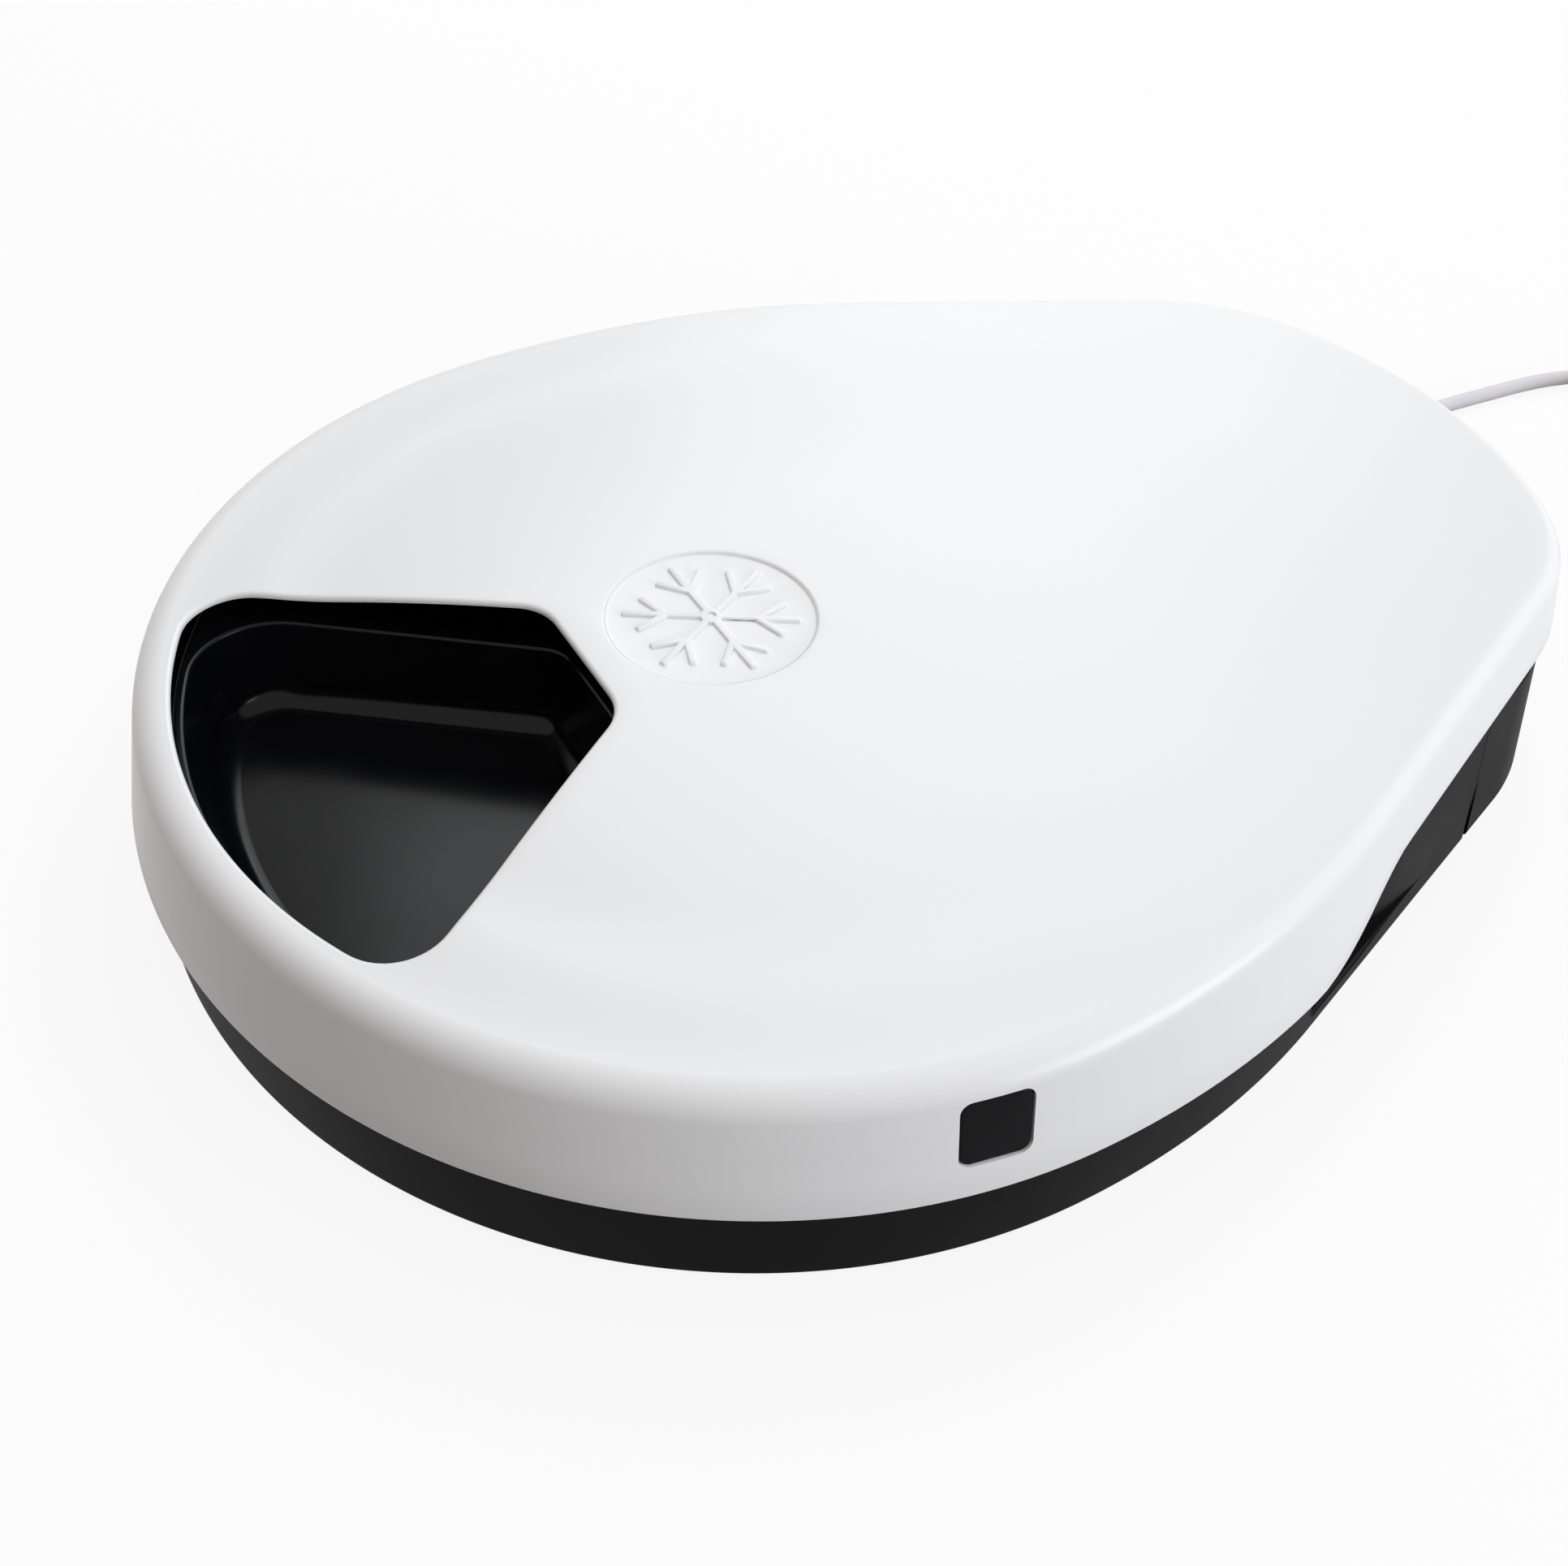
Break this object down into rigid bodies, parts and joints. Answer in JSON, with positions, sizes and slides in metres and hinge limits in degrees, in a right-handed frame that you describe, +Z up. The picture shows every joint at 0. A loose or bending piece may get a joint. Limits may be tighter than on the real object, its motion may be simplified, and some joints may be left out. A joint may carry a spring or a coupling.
{
  "type": "automatic wet food feeder",
  "caption": "Pear-shaped automatic wet food feeder: a compartment tray turns under a white lift-off lid with a serving opening, on a black base with ice packs and a supply cord.",
  "frame": {"origin": "on the floor under the middle of the lid's edge, halfway between front and rear", "axes": "+X to the right of someone standing at the serving opening, +Y to the rear where the cord leaves, +Z up"},
  "size_m": [0.31, 0.5986, 0.0636],
  "materials": {
    "lid_plastic": "moulded gloss white",
    "button_plastic": "moulded gloss black",
    "spring_steel": "drawn wire",
    "base_plastic": "satin black, fine mould texture",
    "socket_plastic": "moulded",
    "cover_plastic": "moulded, matt",
    "foot_rubber": "moulded pads",
    "screw_steel": "zinc plated",
    "tray_plastic": "polished black",
    "ice_pack_plastic": "blow-moulded, translucent",
    "drive_acetal": "natural acetal",
    "bush_brass": "turned",
    "motor_steel": "drawn can",
    "panel_plastic": "moulded grey",
    "window_smoked": "smoked clear",
    "display_face": "display face",
    "key_rubber": "moulded keys",
    "board_laminate": "solder mask",
    "contact_steel": "nickel plated",
    "cell_sleeve": "shrink sleeve",
    "cable_sheath": "flat cable",
    "cord_jacket": "soft white jacket",
    "tie_strap": "hook-and-loop strap"
  },
  "bodies": {
    "base": {"base_shell": "base_plastic", "rear_cover": "base_plastic", "power_socket": "socket_plastic", "bottom_cover": "cover_plastic", "battery_door": "cover_plastic", "foot_front_left": "foot_rubber", "foot_front_right": "foot_rubber", "foot_rear_left": "foot_rubber", "foot_rear_right": "foot_rubber", "bottom_screw_1": "screw_steel", "bottom_screw_2": "screw_steel", "bottom_screw_3": "screw_steel", "bottom_screw_4": "screw_steel", "bottom_screw_5": "screw_steel", "bottom_screw_6": "screw_steel", "ice_pack_right": "ice_pack_plastic", "ice_pack_left": "ice_pack_plastic", "spindle_bush": "bush_brass", "drive_motor": "motor_steel", "index_switch": "socket_plastic", "control_panel": "panel_plastic", "display_window": "window_smoked", "display_module": "display_face", "control_board": "board_laminate", "battery_box": "cover_plastic", "battery_contacts_front": "contact_steel", "battery_contacts_rear": "contact_steel", "battery_cell_1": "cell_sleeve", "battery_cell_2": "cell_sleeve", "battery_cell_3": "cell_sleeve", "motor_cable": "cable_sheath", "feeder_plug": "cord_jacket", "feeder_plug_tongue": "contact_steel", "power_cord": "cord_jacket", "cord_coil": "cord_jacket", "cord_tie": "tie_strap", "supply_plug": "cord_jacket", "supply_plug_shell": "contact_steel"},
    "turntable": {"food_tray": "tray_plastic", "drive_spindle": "drive_acetal", "drive_gear": "drive_acetal"},
    "pinion": {"motor_pinion": "bush_brass", "motor_shaft": "screw_steel"},
    "lid": {"lid": "lid_plastic", "release_spring_right": "spring_steel", "release_spring_left": "spring_steel"},
    "button_right": {"release_button_right": "button_plastic"},
    "button_left": {"release_button_left": "button_plastic"},
    "key_set": {"key_set": "key_rubber"},
    "key_down": {"key_down": "key_rubber"},
    "key_up": {"key_up": "key_rubber"}
  },
  "joints": [
    {"name": "tray_turn", "type": "hinge", "parent": "base", "child": "turntable", "pos_m": [0, -0.05152, 0.0495], "axis": [0, 0, 1], "continuous": true},
    {"name": "pinion_spin", "type": "hinge", "parent": "base", "child": "pinion", "pos_m": [0, -0.00652, 0.0191], "axis": [0, 0, 1], "continuous": true},
    {"name": "lid_lift", "type": "slide", "parent": "base", "child": "lid", "axis": [0, 0, 1], "range_m": [0, 0.12]},
    {"name": "button_right_press", "type": "slide", "parent": "lid", "child": "button_right", "axis": [-0.9851, 0.1719, 0], "range_m": [0, 0.0022], "stiffness_N_per_m": 600, "springref_m": -0.002, "deforming": ["release_spring_right"]},
    {"name": "button_left_press", "type": "slide", "parent": "lid", "child": "button_left", "axis": [0.9851, 0.1719, 0], "range_m": [0, 0.0022], "stiffness_N_per_m": 600, "springref_m": -0.002, "deforming": ["release_spring_left"]},
    {"name": "key_set_press", "type": "slide", "parent": "base", "child": "key_set", "axis": [0, 0, -1], "range_m": [0, 0.001], "stiffness_N_per_m": 300, "springref_m": -0.001},
    {"name": "key_down_press", "type": "slide", "parent": "base", "child": "key_down", "axis": [0, 0, -1], "range_m": [0, 0.001], "stiffness_N_per_m": 300, "springref_m": -0.001},
    {"name": "key_up_press", "type": "slide", "parent": "base", "child": "key_up", "axis": [0, 0, -1], "range_m": [0, 0.001], "stiffness_N_per_m": 300, "springref_m": -0.001}
  ],
  "couplings": [
    {"joint": "pinion_spin", "follows": "tray_turn", "ratio": -4}
  ]
}
